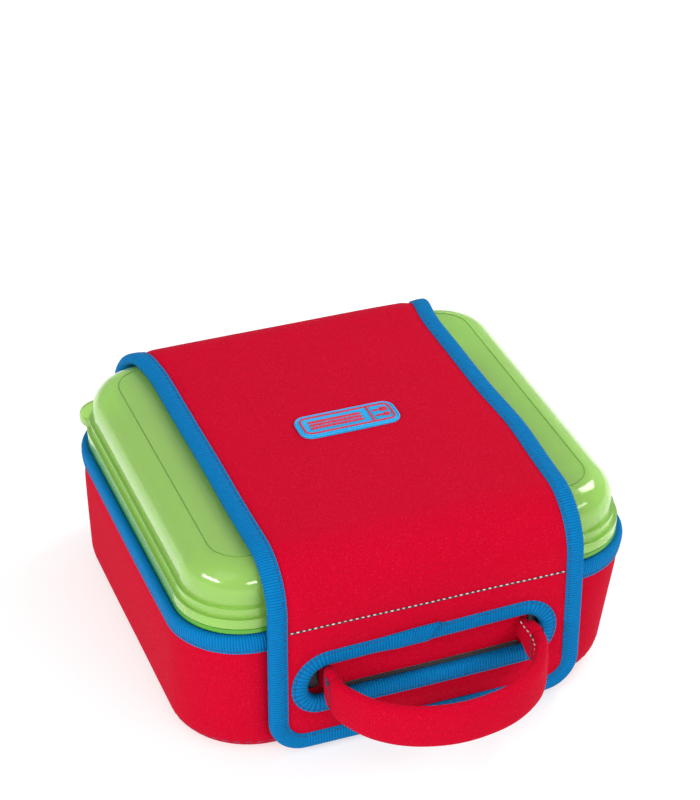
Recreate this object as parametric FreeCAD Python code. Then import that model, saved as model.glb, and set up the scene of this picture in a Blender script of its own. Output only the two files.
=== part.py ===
import FreeCAD, Part
import math

# Lunch box: a translucent box with a domed lid in a soft foam jacket.
# Millimetres. Origin at the centre of the footprint, on the floor.
# +X to the right, +Y to the back, +Z up; the flap hangs down and the handle stands out on -Y.

# ---- jacket tray ----
TRAY_HALF_X = 95.0
TRAY_HALF_Y = 87.0
TRAY_CORNER_R = 29.0
TRAY_TAPER_LEFT = 1.0
TRAY_TAPER_RIGHT = 8.0
CORNER_GROWTH = 4.0
TRAY_BOTTOM_R = 9.0
TRAY_TOP_Z = 57.2
FOAM = 3.0
SEAM_INSET = 11.0
TAPE = 0.8
TAPE_WIDTH = 8.0

# ---- flap ----
FLAP_HALF_Y = 93.0
FLAP_TOP_Z = 90.0
FLAP_FRONT_R = 23.0
FLAP_BACK_R = 22.0
FLAP_HALF_X = 65.5
FLAP_TAPE = 0.9
FLAP_TAPE_X = 58.0
HEM_Z = 2.0
HEM_R = 15.0
BACK_HEM_Z = 12.0
BACK_HEM_R = 10.0
BARE_R = 2.0
FOLD_Z = 58.5
PEEL_Y = -70.0
FOLD_GAP = 0.4

# ---- slot in the flap front, where the handle comes out ----
SLOT_X = -1.0
SLOT_Z = 34.0
SLOT_HALF_X = 48.6
SLOT_HALF_Z = 7.5
SLOT_TAPE = 7.0
SLOT_END_FLAT = 0.01

# ---- hook and loop closure ----
LOOP_TOP_Z = 60.0
LOOP = 0.8
HOOK_X = 44.0
HOOK_WIDTH = 13.3
HOOK_Z = 27.5
HOOK_HEIGHT = 22.0

# ---- handle ----
PIVOT_Y = -97.0
PIVOT_Z = 33.5
PIVOT_R = 6.4
BASE_HALF_X = 43.5
BASE_Z = 20.0
BASE_HEIGHT = 26.0
BASE_FOAM = 0.9
BASE_R = 5.2
TAB_HALF_Z = 5.0
TAB_INSET = 1.0
BARTACK_FRONT = 0.6
BARTACK_BACK = 1.8
GRIP_X = 41.5
GRIP_THICK = 6.0
GRIP_HALF_Z = 9.0
GRIP_REACH = 36.0
GRIP_EDGE_FLAT = 0.4
# The bow of the grip: how far in from its ends, and the share of its reach there.
BOW = ((0.0, 0.0), (1.0, 0.32), (8.5, 0.66), (23.0, 0.91))
BOW_STEPS = 16
CORE_THICK = 2.4
CORE_HALF_Z = 6.0

# ---- container ----
BOX_HALF_X = 88.5
BOX_HALF_Y = 80.0
BOX_CORNER_R = 25.0
BOX_TAPER = 6.0
BOX_BOTTOM_R = 8.0
BOX_FLOOR_Z = 3.4
WALL = 1.7
FLANGE_HALF_X = 92.5
FLANGE_HALF_Y = 85.8
FLANGE_R = 27.0
FLANGE_Z = 58.6
FLANGE_THICK = 1.8
FLANGE_LAP = 1.0
LID_Z = 60.8
STEP_Z = 65.0
STEP = 1.4
DOME_Z = 69.0
LID_TOP_Z = 84.6
DOME_R = 11.0
CREASE = 0.6
CREASE_DEPTH = 0.25
THUMB_R = 10.0
THUMB_X = -82.7
THUMB_Y = 72.0
THUMB_Z = 63.4
THUMB_THICK = 5.0
THUMB_ROUND = 1.8
HINGE_Y = 86.2
HINGE_Z = 60.6
KNUCKLE_R = 2.2
PIN_R = 1.0
PIN_RUN = 0.06
KNUCKLE_LENGTH = 19.2
KNUCKLE_PITCH = 20.0
KNUCKLE_COUNT = 5

# ---- badge ----
BADGE_X = -0.5
BADGE_Y = -3.5
BADGE_HALF_X = 21.5
BADGE_HALF_Y = 8.0
BADGE_R = 5.0
BADGE_THICK = 1.5
LINE_INSET = 1.9
LINE = 0.8
LINE_HEIGHT = 0.35
DIVIDER_X = 9.5

# ---- reach of cutting shapes, and the smallest length that counts ----
FAR = 200.0
UNDER = -10.0
TINY = 1e-6


def v(x, y, z):
    return FreeCAD.Vector(x, y, z)


def box(x0, x1, y0, y1, z0, z1):
    return Part.makeBox(x1 - x0, y1 - y0, z1 - z0, v(x0, y0, z0))


def rounded_wire(a0, a1, b0, b1, radius, place):
    """A rounded rectangle in two coordinates."""
    corners = [(a1, b0, -90), (a1, b1, 0), (a0, b1, 90), (a0, b0, 180)]
    edges = []
    points = []
    for a, b, start in corners:
        ca = a - radius if a == a1 else a + radius
        cb = b - radius if b == b1 else b + radius
        arc = []
        for turn in (0, 45, 90):
            angle = math.radians(start + turn)
            arc.append(place(ca + radius * math.cos(angle), cb + radius * math.sin(angle)))
        points.append(arc)
    for i, arc in enumerate(points):
        edges.append(Part.Arc(*arc).toShape())
        following = points[(i + 1) % len(points)][0]
        if arc[2].distanceToPoint(following) > TINY:
            edges.append(Part.makeLine(arc[2], following))
    return Part.Wire(edges)


def rounded(a0, a1, b0, b1, radius, place, direction):
    """A rounded rectangle pushed out along a direction."""
    return Part.Face(rounded_wire(a0, a1, b0, b1, radius, place)).extrude(direction)


def slab(half_x, half_y, radius, z0, z1, cx=0.0, cy=0.0):
    """A rounded rectangle in plan, from z0 to z1."""
    return rounded(
        cx - half_x, cx + half_x, cy - half_y, cy + half_y, radius,
        lambda a, b: v(a, b, z0), v(0, 0, z1 - z0),
    )


def upright(x0, x1, z0, z1, radius, y0, y1):
    """A rounded rectangle seen from the front, from y0 to y1."""
    return rounded(x0, x1, z0, z1, radius, lambda a, b: v(a, y0, b), v(0, y1 - y0, 0))


def level_edges(solid, z):
    """The edges that lie wholly at one height."""
    return [
        e for e in solid.Edges
        if abs(e.BoundBox.ZMin - z) < TINY and abs(e.BoundBox.ZMax - z) < TINY
    ]


def tapered(half_x, half_y, radius, z0, z1, left, right):
    """A rounded box that narrows from the tray's rim to the floor by left and right."""
    wires = []
    for z in (z0, z1):
        low = (TRAY_TOP_Z - z) / TRAY_TOP_Z
        wires.append(rounded_wire(
            -half_x + left * low, half_x - right * low, -half_y, half_y,
            radius + CORNER_GROWTH * low, lambda a, b: v(a, b, z),
        ))
    return Part.makeLoft(wires, True, True)


def soft_tray(inset, z0, z1):
    """The tray's outside, set in by a distance on every side."""
    return tapered(
        TRAY_HALF_X - inset, TRAY_HALF_Y - inset, TRAY_CORNER_R - inset,
        z0, z1, TRAY_TAPER_LEFT, TRAY_TAPER_RIGHT,
    )


def rounded_below(solid, z, radius):
    """The solid with the edges at one height rounded off."""
    return solid.makeFillet(radius, level_edges(solid, z))


def rod(radius, x0, x1, y, z):
    """A round bar from side to side."""
    return Part.makeCylinder(radius, x1 - x0, v(x0, y, z), v(1, 0, 0))


def arch(inset, half_x):
    """Everything under the flap's line, from front to back, set in by a distance."""
    mid_turn = 1 - math.sqrt(0.5)
    y = FLAP_HALF_Y - inset
    z = FLAP_TOP_Z - inset
    front_r = FLAP_FRONT_R - inset
    back_r = FLAP_BACK_R - inset
    front_mid = v(-half_x, -y + front_r * mid_turn, z - front_r * mid_turn)
    back_mid = v(-half_x, y - back_r * mid_turn, z - back_r * mid_turn)
    p = [
        v(-half_x, -y, UNDER),
        v(-half_x, -y, z - front_r),
        v(-half_x, -y + front_r, z),
        v(-half_x, y - back_r, z),
        v(-half_x, y, z - back_r),
        v(-half_x, y, UNDER),
    ]
    edges = [
        Part.makeLine(p[0], p[1]),
        Part.Arc(p[1], front_mid, p[2]).toShape(),
        Part.makeLine(p[2], p[3]),
        Part.Arc(p[3], back_mid, p[4]).toShape(),
        Part.makeLine(p[4], p[5]),
        Part.makeLine(p[5], p[0]),
    ]
    return Part.Face(Part.Wire(edges)).extrude(v(2 * half_x, 0, 0))


def stadium(half_x, half_z, y0, y1):
    """The slot's outline with round ends, from y0 to y1."""
    return upright(
        SLOT_X - half_x, SLOT_X + half_x, SLOT_Z - half_z, SLOT_Z + half_z,
        half_z - SLOT_END_FLAT, y0, y1,
    )


def save(shape, node):
    solid = shape.removeSplitter()
    solid.exportStep("parts/" + node + ".step")


# ---- tray of the jacket ----
outside = rounded_below(soft_tray(0, 0, TRAY_TOP_Z), 0, TRAY_BOTTOM_R)
inside = rounded_below(soft_tray(FOAM, FOAM, TRAY_TOP_Z + FOAM), FOAM, TRAY_BOTTOM_R - FOAM)
bottom_panel = slab(
    TRAY_HALF_X - (TRAY_TAPER_LEFT + TRAY_TAPER_RIGHT) / 2 - SEAM_INSET,
    TRAY_HALF_Y - SEAM_INSET, TRAY_CORNER_R - SEAM_INSET, 0, FOAM,
    (TRAY_TAPER_LEFT - TRAY_TAPER_RIGHT) / 2,
)
tray_wall = outside.cut(inside).cut(bottom_panel)

wrap_out = soft_tray(-TAPE, FOAM, TRAY_TOP_Z + TAPE)
wrap_in = soft_tray(FOAM + TAPE, 0, TRAY_TOP_Z + FOAM)
rim_zone = box(-FAR, FAR, -FAR, FAR, TRAY_TOP_Z + TAPE - TAPE_WIDTH, FAR)
rim_binding = wrap_out.cut(wrap_in).common(rim_zone).cut(tray_wall)

# ---- hook patches on the front wall ----
patches = {}
for side, sign in (("left", -1), ("right", 1)):
    near = sign * HOOK_X
    far = sign * (HOOK_X + HOOK_WIDTH)
    patches[side] = box(
        min(near, far), max(near, far), -TRAY_HALF_Y - LOOP, -TRAY_HALF_Y,
        HOOK_Z, HOOK_Z + HOOK_HEIGHT,
    )

# ---- flap ----
panel_in = FLAP_TAPE + FOAM
tape_in = panel_in + FLAP_TAPE
panel_strip = arch(FLAP_TAPE, FLAP_HALF_X - FLAP_TAPE).cut(arch(panel_in, FAR))
tape_strip = arch(0, FLAP_HALF_X).cut(arch(tape_in, FAR))


def outline(half_x, hem, radius, y0, y1):
    """The flap seen from the front, with its rounded hem."""
    return upright(-half_x, half_x, hem, FAR, radius, y0, y1)


def bound(zone_y0, zone_y1, hem, hem_r, zone):
    """The panel, its bound edge and the space inside the binding, for one end of the flap."""
    width = FLAP_HALF_X - FLAP_TAPE_X
    whole = outline(FLAP_HALF_X, hem, hem_r, zone_y0, zone_y1)
    under = outline(
        FLAP_HALF_X - FLAP_TAPE, hem + FLAP_TAPE, hem_r - FLAP_TAPE, zone_y0, zone_y1
    )
    bare = outline(FLAP_TAPE_X, hem + width, max(hem_r - width, BARE_R), zone_y0, zone_y1)
    panel = panel_strip.common(under).common(zone)
    tape = tape_strip.common(whole).common(zone).cut(bare).cut(panel_strip.common(under))
    return panel, tape


front_zone = box(-FAR, FAR, -FAR, PEEL_Y - FOLD_GAP, 0, FAR)
back_zone = box(-FAR, FAR, FLAP_HALF_Y / 2, FAR, 0, FOLD_Z - FOLD_GAP)
top_zone = box(-FAR, FAR, PEEL_Y + FOLD_GAP, FAR, FOLD_Z + FOLD_GAP, FAR)

front_panel, front_tape = bound(-FAR, PEEL_Y, HEM_Z, HEM_R, front_zone)
back_panel, back_tape = bound(FLAP_HALF_Y / 2, FAR, BACK_HEM_Z, BACK_HEM_R, back_zone)
top_panel = panel_strip.common(top_zone)
top_tape = tape_strip.common(top_zone).cut(panel_strip)
top_tape = top_tape.cut(box(-FLAP_TAPE_X, FLAP_TAPE_X, -FAR, FAR, 0, FAR))

# The back panel is sewn flat to the tray wall below the rim binding.
seam_top = TRAY_TOP_Z - TAPE_WIDTH - FOAM
back_seam = box(
    -FLAP_TAPE_X + FOAM, FLAP_TAPE_X - FOAM, TRAY_HALF_Y, FLAP_HALF_Y - panel_in,
    BACK_HEM_Z + TAPE_WIDTH, seam_top,
)
back_panel = back_panel.fuse(back_seam)

# ---- slot, its binding and the loop lining ----
slot_cut = stadium(SLOT_HALF_X + FLAP_TAPE, SLOT_HALF_Z + FLAP_TAPE, -FAR, PEEL_Y)
slot_open = stadium(SLOT_HALF_X, SLOT_HALF_Z, -FAR, PEEL_Y)
slot_edge = stadium(SLOT_HALF_X + SLOT_TAPE, SLOT_HALF_Z + SLOT_TAPE, -FAR, PEEL_Y)
front_panel = front_panel.cut(slot_cut)
slot_binding = tape_strip.common(slot_edge).cut(slot_open).cut(front_panel)

lining_half_x = FLAP_TAPE_X - FOLD_GAP
lining_low = HEM_Z + TAPE_WIDTH
loop_lining = arch(panel_in, lining_half_x).cut(arch(panel_in + LOOP, FAR))
loop_lining = loop_lining.common(
    upright(-lining_half_x, lining_half_x, lining_low, LOOP_TOP_Z, HEM_R / 2, -FAR, PEEL_Y)
)
lining_hole = stadium(
    SLOT_HALF_X + SLOT_TAPE + FOLD_GAP, SLOT_HALF_Z + SLOT_TAPE + FOLD_GAP, -FAR, PEEL_Y
)
loop_lining = loop_lining.cut(lining_hole)

# ---- badge on the flap ----
badge_z = FLAP_TOP_Z - FLAP_TAPE
badge = slab(
    BADGE_HALF_X, BADGE_HALF_Y, BADGE_R, badge_z, badge_z + BADGE_THICK, BADGE_X, BADGE_Y
)
line_z = badge_z + BADGE_THICK
line_out = slab(
    BADGE_HALF_X - LINE_INSET, BADGE_HALF_Y - LINE_INSET, BADGE_R - LINE_INSET,
    line_z, line_z + LINE_HEIGHT, BADGE_X, BADGE_Y,
)
line_in = slab(
    BADGE_HALF_X - LINE_INSET - LINE, BADGE_HALF_Y - LINE_INSET - LINE,
    BADGE_R - LINE_INSET - LINE, line_z, line_z + LINE_HEIGHT, BADGE_X, BADGE_Y,
)
divider = box(
    BADGE_X + DIVIDER_X, BADGE_X + DIVIDER_X + LINE,
    BADGE_Y - BADGE_HALF_Y + LINE_INSET, BADGE_Y + BADGE_HALF_Y - LINE_INSET,
    line_z, line_z + LINE_HEIGHT,
)
badge_inlay = line_out.cut(line_in).fuse(divider)


# ---- handle ----
tab_outer = GRIP_X + GRIP_THICK / 2 - TAB_INSET
tab_inner = GRIP_X - GRIP_THICK / 2 + TAB_INSET


def tab(sign):
    """One end tab, sewn to the tray's front and out through the slot to the fold of the handle."""
    low, high = sorted((sign * tab_inner, sign * tab_outer))
    shape = box(
        low, high, PIVOT_Y, -TRAY_HALF_Y, PIVOT_Z - TAB_HALF_Z, PIVOT_Z + TAB_HALF_Z
    )
    return shape.fuse(rod(PIVOT_R, low, high, PIVOT_Y, PIVOT_Z))


handle_base = box(
    -BASE_HALF_X, BASE_HALF_X, -TRAY_HALF_Y - BASE_FOAM, -TRAY_HALF_Y,
    BASE_Z, BASE_Z + BASE_HEIGHT,
)
handle_base = handle_base.makeFillet(
    BASE_R,
    [e for e in handle_base.Edges if e.BoundBox.YLength > BASE_FOAM / 2],
)
handle_base = handle_base.fuse(tab(-1)).fuse(tab(1))

bartacks = {}
for side, sign in (("left", -1), ("right", 1)):
    face = sign * tab_outer
    low, high = sorted((face, face + sign * LOOP))
    bartacks[side] = box(
        low, high, PIVOT_Y - BARTACK_FRONT, PIVOT_Y + BARTACK_BACK,
        PIVOT_Z - TAB_HALF_Z, PIVOT_Z + TAB_HALF_Z,
    )


def bow(thick, half_z):
    """The bowed grip, as a strip of one thickness standing on edge."""
    half = thick / 2
    left = [v(inward - GRIP_X, PIVOT_Y - share * GRIP_REACH, 0) for inward, share in BOW]
    right = [v(-point.x, point.y, 0) for point in reversed(left)]
    middle = left + [v(0, PIVOT_Y - GRIP_REACH, 0)] + right
    curve = Part.BSplineCurve()
    curve.interpolate(middle)
    outer = []
    inner = []
    for i in range(BOW_STEPS + 1):
        t = curve.FirstParameter + (curve.LastParameter - curve.FirstParameter) * i / BOW_STEPS
        along = curve.tangent(t)[0]
        aside = v(along.y, -along.x, 0)
        outer.append(curve.value(t) + aside * half)
        inner.append(curve.value(t) - aside * half)
    edges = []
    for points in (outer, inner):
        side_curve = Part.BSplineCurve()
        side_curve.interpolate(points)
        edges.append(side_curve.toShape())
    edges.append(Part.makeLine(outer[0], inner[0]))
    edges.append(Part.makeLine(outer[-1], inner[-1]))
    face = Part.Face(Part.Wire(Part.__sortEdges__(edges)))
    face.translate(v(0, 0, PIVOT_Z - half_z))
    return face.extrude(v(0, 0, 2 * half_z))


def freed(solid, gap):
    """The strip cut back from the fold it turns about."""
    solid = solid.cut(rod(PIVOT_R + gap, -FAR, FAR, PIVOT_Y, PIVOT_Z))
    return solid.cut(box(-FAR, FAR, PIVOT_Y - FOAM, FAR, 0, FAR))


sleeve = bow(GRIP_THICK, GRIP_HALF_Z)
long_edges = [e for e in sleeve.Edges if e.BoundBox.XLength > GRIP_X]
sleeve = sleeve.makeFillet(GRIP_THICK / 2 - GRIP_EDGE_FLAT, long_edges)
core = bow(CORE_THICK, CORE_HALF_Z)
handle_core = freed(core, FOAM)
handle_grip = freed(sleeve, FOLD_GAP).cut(handle_core)


# ---- container ----
def hard_box(inset, z0, z1):
    """The tapering body of the container, set in by a distance."""
    solid = tapered(
        BOX_HALF_X - inset, BOX_HALF_Y - inset, BOX_CORNER_R - inset,
        z0, z1, BOX_TAPER, BOX_TAPER,
    )
    return rounded_below(solid, z0, BOX_BOTTOM_R - inset)


body_out = hard_box(0, BOX_FLOOR_Z, FLANGE_Z + FLANGE_LAP)
body_in = hard_box(WALL, BOX_FLOOR_Z + WALL, FLANGE_Z + FOAM)
flange = slab(FLANGE_HALF_X, FLANGE_HALF_Y, FLANGE_R, FLANGE_Z, FLANGE_Z + FLANGE_THICK)
container_base = body_out.fuse(flange).cut(body_in)

skirt = slab(FLANGE_HALF_X, FLANGE_HALF_Y, FLANGE_R, LID_Z, STEP_Z)
step = slab(FLANGE_HALF_X - STEP, FLANGE_HALF_Y - STEP, FLANGE_R - STEP, LID_Z, DOME_Z)
dome_half_x = FLANGE_HALF_X - 2 * STEP
dome_half_y = FLANGE_HALF_Y - 2 * STEP
dome_corner = FLANGE_R - 2 * STEP
dome = slab(dome_half_x, dome_half_y, dome_corner, LID_Z, LID_TOP_Z)
dome = dome.makeFillet(DOME_R, level_edges(dome, LID_TOP_Z))
hollow = slab(
    dome_half_x - WALL, dome_half_y - WALL, dome_corner - WALL, 0, LID_TOP_Z - WALL
)
hollow = hollow.makeFillet(DOME_R - WALL, level_edges(hollow, LID_TOP_Z - WALL))
crease_z = LID_TOP_Z - CREASE_DEPTH
crease = slab(
    dome_half_x - DOME_R, dome_half_y - DOME_R, dome_corner - DOME_R, crease_z, LID_TOP_Z
)
crease = crease.cut(slab(
    dome_half_x - DOME_R - CREASE, dome_half_y - DOME_R - CREASE,
    dome_corner - DOME_R - CREASE, crease_z, LID_TOP_Z,
))

# The thumb lip that lifts the lid stands out of its back left corner.
thumb = Part.makeCylinder(THUMB_R, THUMB_THICK, v(THUMB_X, THUMB_Y, THUMB_Z))
for z in (THUMB_Z, THUMB_Z + THUMB_THICK):
    thumb = thumb.makeFillet(THUMB_ROUND, level_edges(thumb, z))
container_lid = skirt.fuse(step).fuse(dome).fuse(thumb).cut(hollow).cut(crease)

# ---- hinge at the back of the box ----
hinge_length = KNUCKLE_PITCH * KNUCKLE_COUNT
for i in range(KNUCKLE_COUNT):
    x0 = -hinge_length / 2 + KNUCKLE_PITCH * i + (KNUCKLE_PITCH - KNUCKLE_LENGTH) / 2
    x1 = x0 + KNUCKLE_LENGTH
    knuckle = rod(KNUCKLE_R, x0, x1, HINGE_Y, HINGE_Z)
    room = rod(KNUCKLE_R + FOLD_GAP, x0 - FOLD_GAP, x1 + FOLD_GAP, HINGE_Y, HINGE_Z)
    if i % 2 == 0:
        container_base = container_base.fuse(knuckle)
        container_lid = container_lid.cut(room)
    else:
        container_lid = container_lid.fuse(knuckle)
        container_base = container_base.cut(room)
hinge_pin = rod(PIN_R, -hinge_length / 2, hinge_length / 2, HINGE_Y, HINGE_Z)
container_base = container_base.cut(hinge_pin)
container_lid = container_lid.cut(rod(PIN_R + PIN_RUN, -FAR, FAR, HINGE_Y, HINGE_Z))

# ---- save each piece ----
save(bottom_panel, "bottom_panel")
save(tray_wall, "tray_wall")
save(rim_binding, "rim_binding")
for side in ("left", "right"):
    save(patches[side], "hook_patch_" + side)
    save(bartacks[side], "bartack_" + side)
save(back_panel, "flap_back_panel")
save(back_tape, "flap_binding_back")
save(top_panel, "flap_top_panel")
for solid in top_tape.Solids:
    side = "left" if solid.CenterOfMass.x < 0 else "right"
    save(solid, "flap_binding_top_" + side)
save(badge, "badge")
save(badge_inlay, "badge_inlay")
save(front_panel, "flap_front_panel")
save(front_tape, "flap_binding_front")
save(slot_binding, "slot_binding")
save(loop_lining, "loop_lining")
save(handle_base, "handle_base")
save(handle_grip, "handle_grip")
save(handle_core, "handle_core")
save(container_base, "container_base")
save(container_lid, "container_lid")
save(hinge_pin, "hinge_pin")
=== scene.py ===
import math

import bmesh
import bpy
import numpy as np
from mathutils import Matrix, Vector, geometry, noise


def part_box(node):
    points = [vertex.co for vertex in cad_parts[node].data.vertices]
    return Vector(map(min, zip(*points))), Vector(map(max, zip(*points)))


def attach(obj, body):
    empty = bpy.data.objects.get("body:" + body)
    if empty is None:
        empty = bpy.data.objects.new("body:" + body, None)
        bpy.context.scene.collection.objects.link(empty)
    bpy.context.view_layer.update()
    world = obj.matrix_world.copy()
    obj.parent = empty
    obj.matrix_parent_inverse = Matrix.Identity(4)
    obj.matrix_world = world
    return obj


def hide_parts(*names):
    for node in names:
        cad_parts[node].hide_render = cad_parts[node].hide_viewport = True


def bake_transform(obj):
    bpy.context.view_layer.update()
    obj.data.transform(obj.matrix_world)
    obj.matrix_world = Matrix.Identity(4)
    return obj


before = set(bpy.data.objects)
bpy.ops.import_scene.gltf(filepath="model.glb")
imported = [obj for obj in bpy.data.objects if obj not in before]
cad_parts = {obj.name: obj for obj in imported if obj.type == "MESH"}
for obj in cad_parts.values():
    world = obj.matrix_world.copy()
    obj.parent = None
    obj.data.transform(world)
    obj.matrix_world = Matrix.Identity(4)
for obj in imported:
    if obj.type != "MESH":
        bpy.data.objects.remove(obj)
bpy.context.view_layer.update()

# Lunch box: soft jacket, bound edges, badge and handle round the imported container.
# Metres, in the CAD frame: +X right, +Y back, +Z up, the handle on -Y.

MM = 0.001

# ---- sizes taken from the frame ----
_, tray_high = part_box("tray_wall")
_, rim_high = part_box("rim_binding")
_, lid_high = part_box("container_lid")
front_low, front_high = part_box("flap_binding_front")
back_low, back_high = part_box("flap_binding_back")
slot_low, slot_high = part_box("slot_binding")
base_low, base_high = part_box("handle_base")
badge_low, badge_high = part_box("badge")
inlay_low, inlay_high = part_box("badge_inlay")
loop_low, loop_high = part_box("loop_lining")
floor_low, floor_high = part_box("bottom_panel")

# ---- tray shape, as in the CAD ----
TRAY_X = tray_high.x
TRAY_Y = tray_high.y
TRAY_TOP = rim_high.z
TRAY_R = 29 * MM
TAPER_LEFT = 1 * MM
TAPER_RIGHT = 8 * MM
CORNER_GROWTH = 4 * MM
BOTTOM_R = 9 * MM
FOAM = 3 * MM
TAPE = 0.8 * MM
TAPE_WIDTH = 8 * MM
RIM_THICK = FOAM + 2 * TAPE
FRONT_FLAT = 50 * MM

# ---- flap shape, as in the CAD ----
FLAP_X = front_high.x
FLAP_Y = back_high.y
FLAP_TOP = front_high.z
FRONT_R = 23 * MM
BACK_R = 22 * MM
FRONT_HEM = front_low.z
BACK_HEM = back_low.z
FRONT_HEM_R = 15 * MM
BACK_HEM_R = 10 * MM
FLAP_TAPE = 0.9 * MM
FLAP_TAPE_WIDTH = 7.5 * MM
FLAP_THICK = 4.8 * MM
FLARE = 7 * MM
SPLIT_Y = 22 * MM
FOLD_Z = 58.5 * MM
PEEL_Y = -70 * MM
SLOT_TAPE = 7 * MM

# ---- cloth and sewing ----
RIB = 1.15 * MM
SEWN = 0.84
SEWN_DEPTH = 0.09
STEP = 2.4 * MM
WALL_STEP = 3 * MM
MERGE_REACH = 0.02 * MM
TINY = 1e-9
ON_LINE = 1e-6


# ------------------------------------------------------------------ mesh helpers
def make_object(name, verts, faces, corner_uvs, material):
    """A smooth mesh object with one UV map, in metres of cloth, called cloth."""
    mesh = bpy.data.meshes.new(name)
    mesh.from_pydata([tuple(v) for v in verts], [], faces)
    layer = mesh.uv_layers.new(name="cloth")
    flat = [c for uv in corner_uvs for c in uv]
    layer.data.foreach_set("uv", flat)
    mesh.materials.append(material)
    mesh.polygons.foreach_set("use_smooth", [True] * len(mesh.polygons))
    obj = bpy.data.objects.new(name, mesh)
    bpy.context.scene.collection.objects.link(obj)
    return obj


def outward(obj, merge=True):
    """Merges doubled points, where asked, and turns every face outwards."""
    bm = bmesh.new()
    bm.from_mesh(obj.data)
    if merge:
        bmesh.ops.remove_doubles(bm, verts=bm.verts, dist=MERGE_REACH)
    bmesh.ops.recalc_face_normals(bm, faces=bm.faces)
    bm.to_mesh(obj.data)
    bm.free()
    return obj


def lattice(name, rows, us, vs, material, caps=True):
    """A skin over closed rows of points. vs, along a row, is one longer than the row."""
    nu = len(rows)
    nv = len(rows[0])
    verts = [p for row in rows for p in row]
    faces = []
    uvs = []
    for i in range(nu - 1):
        for j in range(nv):
            a, b = i, i + 1
            c, d = j, (j + 1) % nv
            faces.append((a * nv + c, b * nv + c, b * nv + d, a * nv + d))
            uvs += [(us[i], vs[j]), (us[i + 1], vs[j]), (us[i + 1], vs[j + 1]), (us[i], vs[j + 1])]
    if caps:
        for i in (0, nu - 1):
            faces.append(tuple(i * nv + j for j in range(nv)))
            uvs += [(us[i], vs[j]) for j in range(nv)]
    return outward(make_object(name, verts, faces, uvs, material))


def lengths(points, closed=False):
    """Running lengths along points, with the run back to the first one where closed."""
    total = [0.0]
    ends = points + points[:1] if closed else points
    for a, b in zip(ends, ends[1:]):
        total.append(total[-1] + (Vector(b) - Vector(a)).length)
    return total


def rounded_line(corners, closed=False, step=STEP):
    """Points and left-hand normals along straight runs with rounded corners: (x, y, radius)."""
    count = len(corners)
    points = []
    normals = []

    def add_run(a, b):
        run = b - a
        if run.length < 1e-7:
            return
        side = Vector((-run.y, run.x)).normalized()
        pieces = max(1, round(run.length / step))
        for k in range(pieces):
            points.append(a + run * (k / pieces))
            normals.append(side)

    def corner(i):
        here = Vector(corners[i][:2])
        if not closed and i in (0, count - 1):
            return here, here, None
        before = (Vector(corners[i - 1][:2]) - here).normalized()
        after = (Vector(corners[(i + 1) % count][:2]) - here).normalized()
        half = before.angle(after) / 2
        reach = corners[i][2] / math.tan(half)
        centre = here + (before + after).normalized() * (corners[i][2] / math.sin(half))
        return here + before * reach, here + after * reach, centre

    for i in range(count):
        start, end, centre = corner(i)
        if centre is not None:
            first = start - centre
            turn = math.atan2(first.x * (end - centre).y - first.y * (end - centre).x,
                              first.dot(end - centre))
            pieces = max(4, round(abs(turn) * first.length / step * 1.6))
            for k in range(pieces):
                spoke = Matrix.Rotation(turn * k / pieces, 2) @ first
                points.append(centre + spoke)
                normals.append(spoke.normalized() * (-1 if turn > 0 else 1))
        if closed or i < count - 1:
            add_run(end, corner((i + 1) % count)[0])
    if not closed:
        points.append(Vector(corners[-1][:2]))
        normals.append(normals[-1])
    return points, normals


def box_distance(x, y, x0, x1, y0, y1, radius):
    """Distance outside a rounded rectangle; negative inside it."""
    dx = abs(x - (x0 + x1) / 2) - (x1 - x0) / 2 + radius
    dy = abs(y - (y0 + y1) / 2) - (y1 - y0) / 2 + radius
    return math.hypot(max(dx, 0), max(dy, 0)) + min(max(dx, dy), 0) - radius


def steps(low, high, step, extra=()):
    """Evenly spaced values with some extra ones, none closer than a third of a step."""
    count = max(1, round((high - low) / step))
    values = [low + (high - low) * i / count for i in range(count + 1)]
    for e in extra:
        values = [q for q in values if abs(q - e) > step * 0.34]
        values.append(e)
    return sorted(values)


def panel(name, loops, outside, xs, ys, place, outer, inner, material, open_at=None):
    """A sheet of foam cut to some loops: two skins and an edge. outer and inner give its depths."""
    points = []
    edges = []
    for loop in loops:
        first = len(points)
        points += [Vector(p) for p in loop]
        edges += [(first + k, first + (k + 1) % len(loop)) for k in range(len(loop))]
    gap = (xs[1] - xs[0]) * 0.45
    for x in xs:
        for y in ys:
            if outside(x, y) < -gap:
                points.append(Vector((x, y)))
    flat, _, tris, *_ = geometry.delaunay_2d_cdt(points, edges, [], 0, 1e-7)
    kept = []
    for t in tris:
        middle = sum((flat[k] for k in t), Vector((0, 0))) / len(t)
        if outside(middle.x, middle.y) < ON_LINE:
            kept.append(tuple(t))
    count = len(flat)
    verts = [place(p.x, p.y, outer(p.x, p.y)) for p in flat]
    verts += [place(p.x, p.y, inner(p.x, p.y)) for p in flat]
    faces = []
    used = {}
    for t in kept:
        faces.append(t)
        faces.append(tuple(k + count for k in reversed(t)))
        for a, b in zip(t, t[1:] + t[:1]):
            key = (min(a, b), max(a, b))
            used[key] = None if key in used else (a, b)
    for pair in used.values():
        if pair is None:
            continue
        a, b = pair
        if open_at and open_at(flat[a]) and open_at(flat[b]):
            continue
        faces.append((b, a, a + count, b + count))
    uvs = [tuple(flat[k % count]) for face in faces for k in face]
    return outward(make_object(name, verts, faces, uvs, material))


# Folded tape: distance in from the edge as a share of the width, and depth as a share of the
# thickness. Its lips are pressed into the foam, and a groove runs where it is sewn.
TAPE_LIP = [(1.0, 0.24), (1.0, 0.13), (0.96, 0.075), (0.9, 0.07), (0.84, 0.1), (0.78, 0.06),
            (0.68, 0.015), (0.45, 0.0), (0.25, 0.02), (0.12, 0.09), (0.03, 0.24)]


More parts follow.
